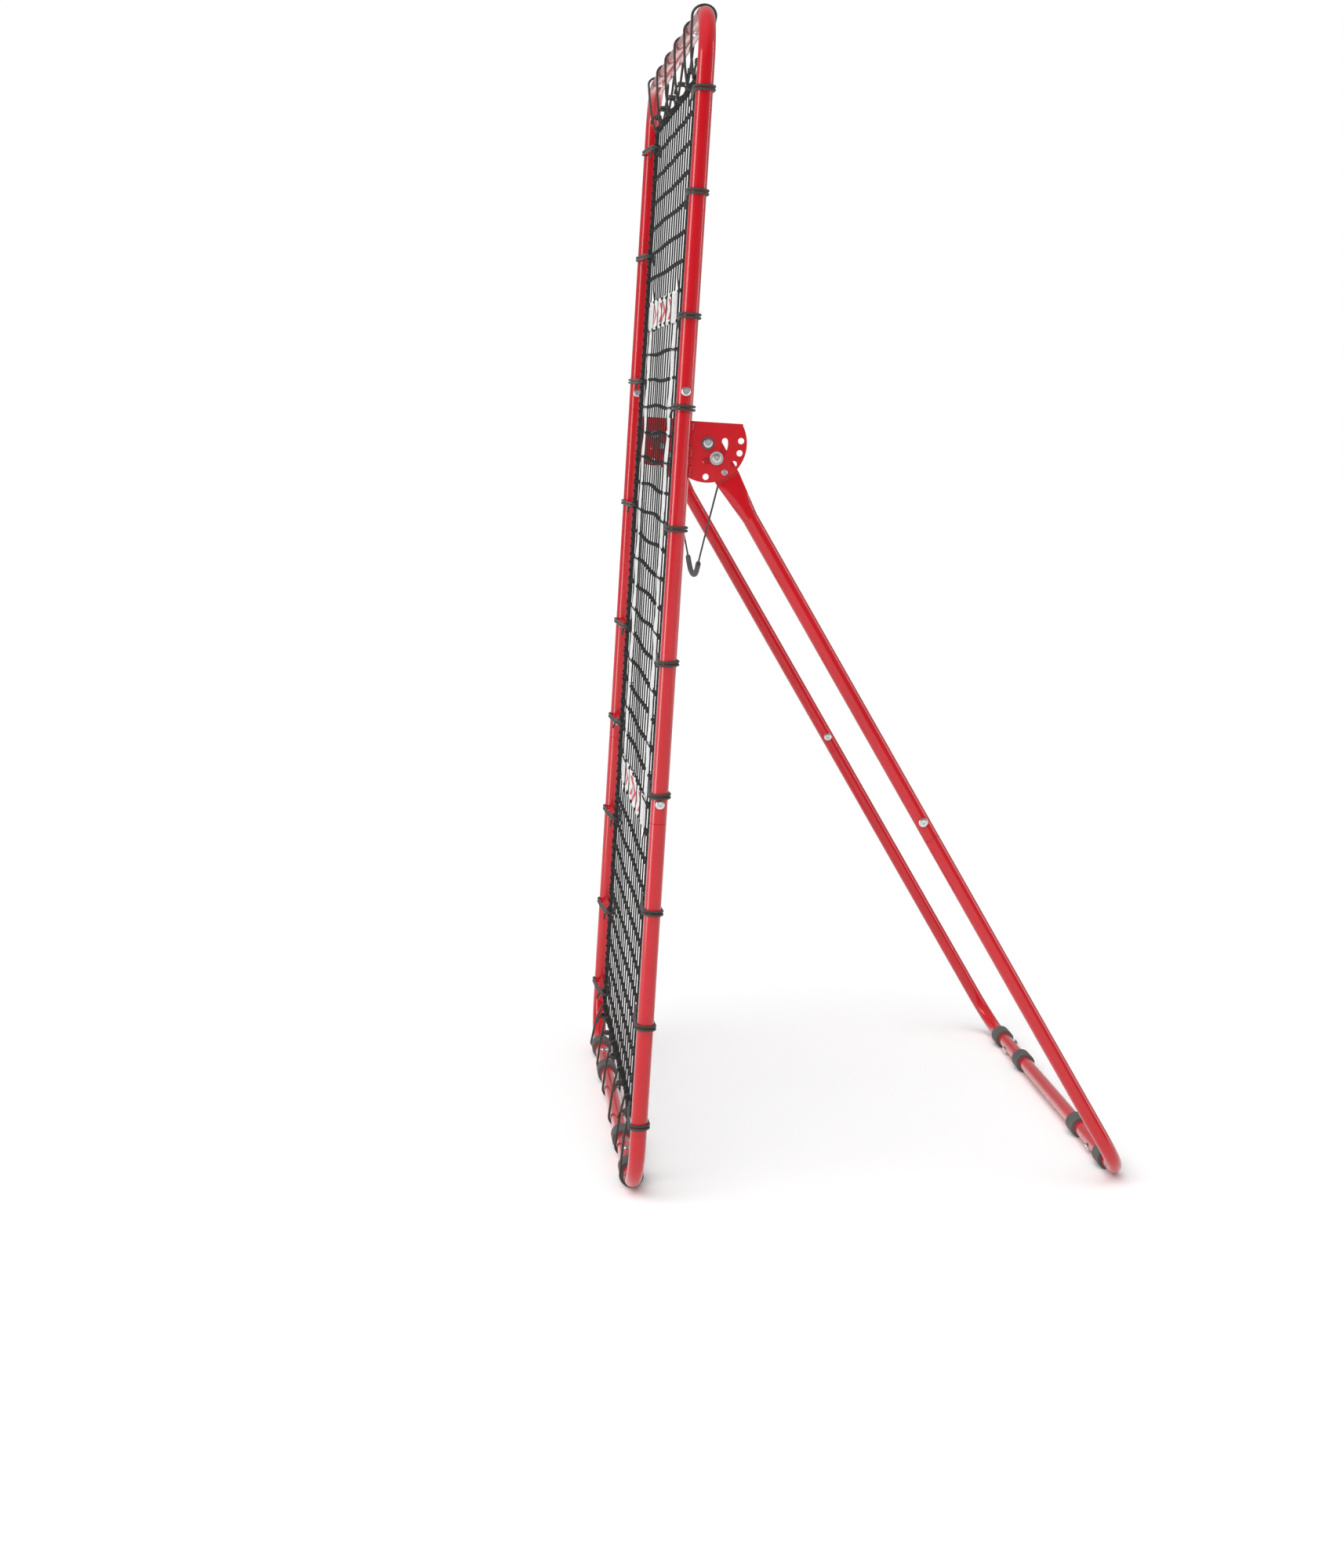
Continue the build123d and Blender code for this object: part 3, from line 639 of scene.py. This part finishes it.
def strip(name, along, across, middle, length, wave, material, replaced):
    """A flat tape that rises and falls along its length, with a thickness and soft edges."""
    count = int(length / 0.004)
    widths = (-0.5, -0.47, -0.3, -0.1, 0.1, 0.3, 0.47, 0.5)
    edge_thinning = 0.35
    flutter = 0.0004
    vertices, faces, uvs = [], [], []
    for face_side in (1, -1):
        for i in range(count + 1):
            run = (i / count - 0.5) * length
            for w in widths:
                thick = webbing_thickness / 2 * (edge_thinning if abs(w) == 0.5 else 1.0) * face_side
                rise = wave(run) + thick + flutter * math.sin(run * 90 + w * 3)
                vertices.append(middle + along * run + across * (w * webbing_width) + front * rise)
    each = len(widths)
    layer = (count + 1) * each

    def vertex(face_side, i, k):
        return (0 if face_side == 1 else layer) + i * each + k

    def uv(i, k):
        return (widths[k] * webbing_width, (i / count - 0.5) * length)

    for i in range(count):
        for k in range(each - 1):
            quad = [(i, k), (i, k + 1), (i + 1, k + 1), (i + 1, k)]
            for face_side in (1, -1):
                order = quad if face_side == 1 else quad[::-1]
                faces.append(tuple(vertex(face_side, *q) for q in order))
                uvs.append(tuple(uv(*q) for q in order))
        for k, flip in ((0, True), (each - 1, False)):
            edge = [vertex(1, i, k), vertex(-1, i, k), vertex(-1, i + 1, k), vertex(1, i + 1, k)]
            faces.append(tuple(edge[::-1] if flip else edge))
            uvs.append(tuple(uv(*q) for q in ((i, k), (i, k), (i + 1, k), (i + 1, k))))
    for i, flip in ((0, False), (count, True)):
        for k in range(each - 1):
            edge = [vertex(1, i, k), vertex(-1, i, k), vertex(-1, i, k + 1), vertex(1, i, k + 1)]
            faces.append(tuple(edge[::-1] if flip else edge))
            uvs.append(tuple(uv(i, q) for q in (k, k, k + 1, k + 1)))
    tape = Shape()
    tape.vertices, tape.faces, tape.uvs = vertices, faces, uvs
    piece = tape.make(name, material, "net_panel", [replaced])
    fixer = bmesh.new()
    fixer.from_mesh(piece.data)
    bmesh.ops.recalc_face_normals(fixer, faces=fixer.faces)
    fixer.to_mesh(piece.data)
    fixer.free()


def eased(distance, reach):
    """0 within the sewn corner, 1 beyond it."""
    fade = 0.02
    return min(1.0, max(0.0, (distance - reach) / fade))


def band_wave(run):
    """The bands pass the strings in front and behind, and lie over the straps at their ends."""
    free = eased(zone_half - abs(run), webbing_width / 2)
    wave = band_wave_height * math.cos(math.pi * (run + zone_half) / mesh_width)
    return wave * free + sewn_lift * (1 - free)


def strap_wave(run):
    """The straps pass the rows in turn, and lie under the bands at their ends."""
    half = (zone_rows[1] - zone_rows[0]) / 2 * mesh_height
    free = eased(half - abs(run), webbing_width / 2)
    wave = strap_wave_height * math.cos(math.pi * (run + half) / mesh_height - math.pi / 2)
    return wave * free - sewn_lift * (1 - free)


for name, row in (("bottom", zone_rows[0]), ("top", zone_rows[1])):
    middle = panel_point(0, net_bottom + row * mesh_height)
    length = 2 * zone_half + webbing_width
    strip(f"{name}_band", right, up, middle, length, band_wave, printed_webbing, f"strike_zone_{name}_band")
for side, sign in (("left", -1), ("right", 1)):
    middle = panel_point(sign * zone_half, net_bottom + sum(zone_rows) / 2 * mesh_height)
    length = (zone_rows[1] - zone_rows[0]) * mesh_height + webbing_width
    node = f"strike_zone_strap_{side}"
    strip(f"strap_{side}", up, right, middle, length, strap_wave, materials["zone_webbing"], node)

# A stitched box with a cross in it holds each of the four corners.
box, stitch_pitch, stitch_lift, thread_radius = 0.019, 0.0042, 0.0005, 0.0004
thread = Shape()
for sign in (-1, 1):
    for row in zone_rows:
        corners = [Vector((a * box, b * box)) for a, b in ((-1, -1), (1, -1), (1, 1), (-1, 1))]
        seams = list(zip(corners, corners[1:] + corners[:1]))
        seams += [(corners[0], corners[2]), (corners[1], corners[3])]
        for a, b in seams:
            stitches = int((b - a).length / stitch_pitch)
            for i in range(stitches):
                ends = [a.lerp(b, (i + t) / stitches) for t in (0.12, 0.5, 0.88)]
                route = []
                for end, lift in zip(ends, (0.0, stitch_lift, 0.0)):
                    x = sign * zone_half + end.x
                    y = net_bottom + row * mesh_height + end.y
                    route.append(panel_point(x, y, sewn_lift + webbing_thickness / 2 + lift))
                thread.tube(route, thread_radius, 5)
thread.make("zone_stitching", materials["zone_webbing"], "net_panel")

# ---- weld beads between the posts and the hinge plates ----
pivot_up = (centre("pivot_bolts") - bottom).dot(up)
bead_runs = ((17, 29), (-22, -5), (-50, -34))  # in millimetres above the pivot
bead_radius, bead_aside, bead_behind, bead_steps = 0.003, 0.0022, 0.0006, 15
beads = Shape()
for sign in (-1, 1):
    for face_side in (-1, 1):
        for low, high in bead_runs:
            route = []
            for i in range(bead_steps + 1):
                y = pivot_up + (low + (high - low) * i / bead_steps) / 1000
                x = sign * half_spacing + face_side * bead_aside
                route.append(panel_point(x, y, -post_radius - bead_behind))
            beads.tube(route, bead_radius, 8, ripple=0.2, taper=0.6)
beads.make("weld_beads", materials["red_powder_coat"], "net_panel")

# ---- pull cord and handle ----
cord_radius, grip_radius = 0.0015, 0.0044
grip_half = 0.0941
pin_line = centre("release_pin_right")
cord_end = abs(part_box("pull_cord")[1][0])
pull_route = [
    (cord_end, 0.0), (0.118, -0.146), (0.066, -0.175), (0.024, -0.184),
    (-0.024, -0.184), (-0.066, -0.175), (-0.118, -0.146), (-cord_end, 0.0),
]
curve = bpy.data.curves.new("pull_cord_route", "CURVE")
curve.dimensions = "3D"
spline = curve.splines.new("NURBS")
spline.points.add(len(pull_route) - 1)
for point, (x, z) in zip(spline.points, pull_route):
    point.co = (x, pin_line.y, pin_line.z + z, 1)
spline.order_u = 3
spline.use_endpoint_u = True
spline.resolution_u = 24
bare = bpy.data.objects.new("pull_cord_route", curve)
bpy.context.collection.objects.link(bare)
route_mesh = bpy.data.meshes.new_from_object(bare)
route_points = [v.co.copy() for v in route_mesh.vertices]
bpy.data.objects.remove(bare)
cord = Shape()
cord.tube(route_points, cord_radius, 12)
line = cord.make("pull_cord_line", materials["pull_cord"], "pull_line", ["pull_cord"])

grip = Shape()
grip.tube([p for p in route_points if abs(p.x) <= grip_half], grip_radius, 20, taper=0.12)
handle = grip.make("pull_grip", materials["handle_rubber"], "pull_line", ["pull_handle"])

# The cord and grip get meshes of their own, and a wire coil stands in for each pin spring in its barrel.
for piece in (line, handle):
    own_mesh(piece)
spring_wire, spring_turns, spring_steps = 0.0006, 5, 24
for side in ("left", "right"):
    node = f"pin_spring_{side}"
    low, high = (Vector(place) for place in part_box(node))
    middle = (low + high) / 2
    radius = (high.z - low.z) / 2 - spring_wire
    run = high.x - low.x - 2 * spring_wire
    helix = []
    for i in range(spring_turns * spring_steps + 1):
        angle = 2 * math.pi * i / spring_steps
        x = low.x + spring_wire + run * i / (spring_turns * spring_steps)
        helix.append((x, middle.y + radius * math.cos(angle), middle.z + radius * math.sin(angle)))
    coil = Shape()
    coil.tube(helix, spring_wire, 8)
    slot = slot_of[node]
    spring = coil.make(f"return_spring_{side}", materials[slot], "leg_frame", [node])
    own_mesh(spring)

# ---- floor, light and camera ----
floor_half = 30
floor_corners = [(floor_half * a, floor_half * b, 0) for a, b in ((-1, -1), (1, -1), (1, 1), (-1, 1))]
floor_mesh = bpy.data.meshes.new("floor")
floor_mesh.from_pydata(floor_corners, [], [(0, 1, 2, 3)])
floor = bpy.data.objects.new("floor", floor_mesh)
bpy.context.collection.objects.link(floor)
floor_material = new_material("floor")[0]
floor_shader = floor_material.node_tree.nodes["Principled BSDF"]
floor_shader.inputs["Base Color"].default_value = (0.98, 0.98, 0.98, 1)
floor_shader.inputs["Roughness"].default_value = 0.9
floor_shader.inputs["Specular IOR Level"].default_value = 0.1
floor_mesh.materials.append(floor_material)

bpy.context.scene.view_settings.view_transform = "Standard"
world = bpy.data.worlds.new("studio")
bpy.context.scene.world = world
world.use_nodes = True
sky = world.node_tree.nodes["Background"]
sky.inputs["Color"].default_value = (1, 1, 1, 1)
# The studio is dimmer towards +X, and its backdrop is white.
nodes, links = world.node_tree.nodes, world.node_tree.links
toward = nodes.new("ShaderNodeTexCoord").outputs["Generated"]
split = nodes.new("ShaderNodeSeparateXYZ")
dimmer = nodes.new("ShaderNodeMapRange")
dimmer.inputs["From Min"].default_value = 0.2
dimmer.inputs["From Max"].default_value = 0.9
dimmer.inputs["To Min"].default_value = 0.42
dimmer.inputs["To Max"].default_value = 0.12
backdrop = nodes.new("ShaderNodeMath")
backdrop.operation = "MAXIMUM"
links.new(toward, split.inputs["Vector"])
links.new(split.outputs["X"], dimmer.inputs["Value"])
links.new(dimmer.outputs["Result"], backdrop.inputs[0])
links.new(nodes.new("ShaderNodeLightPath").outputs["Is Camera Ray"], backdrop.inputs[1])
links.new(backdrop.outputs[0], sky.inputs["Strength"])

# A wide soft sun lights the surfaces, and two softboxes only draw the highlights on them.
sun = bpy.data.lights.new("overhead", "SUN")
sun.energy = 2.9
sun.angle = math.radians(75)
overhead = bpy.data.objects.new("overhead", sun)
overhead.rotation_euler = (-Vector((0.5, -0.35, 0.85))).to_track_quat("-Z", "Y").to_euler()
overhead.visible_glossy = False
bpy.context.collection.objects.link(overhead)


def softbox(name, place, target, size, power):
    """A tall rectangular light that is seen only in reflections."""
    light = bpy.data.lights.new(name, "AREA")
    light.shape = "RECTANGLE"
    light.size, light.size_y = size
    light.energy = power
    lamp = bpy.data.objects.new(name, light)
    lamp.location = place
    lamp.rotation_euler = (Vector(target) - Vector(place)).to_track_quat("-Z", "Y").to_euler()
    lamp.visible_camera = False
    lamp.visible_diffuse = False
    bpy.context.collection.objects.link(lamp)


softbox("key", (1.1, -3.2, 1.2), (0, 0, 0.9), (1.1, 3.2), 55)
softbox("fill", (0.5, 3.6, 1.6), (0, 0, 0.9), (0.4, 3.2), 28)

camera_data = bpy.data.cameras.new("camera")
camera = bpy.data.objects.new("camera", camera_data)
bpy.context.collection.objects.link(camera)
bpy.context.scene.camera = camera
yaw, pitch, roll = 0.08352, 0.14815, 0.00399
camera.location = (4.33048, -0.6423, 1.22117)
ahead = Vector((-math.cos(yaw) * math.cos(pitch), math.sin(yaw) * math.cos(pitch), -math.sin(pitch)))
camera.rotation_euler = (ahead.to_track_quat("-Z", "Y") @ Quaternion((0, 0, 1), -roll)).to_euler()
sensor_width, focal_length, image_width = 36, 3292.4, 1714
camera_data.sensor_fit = "HORIZONTAL"
camera_data.sensor_width = sensor_width
camera_data.lens = focal_length / image_width * sensor_width
camera_data.clip_end = 200
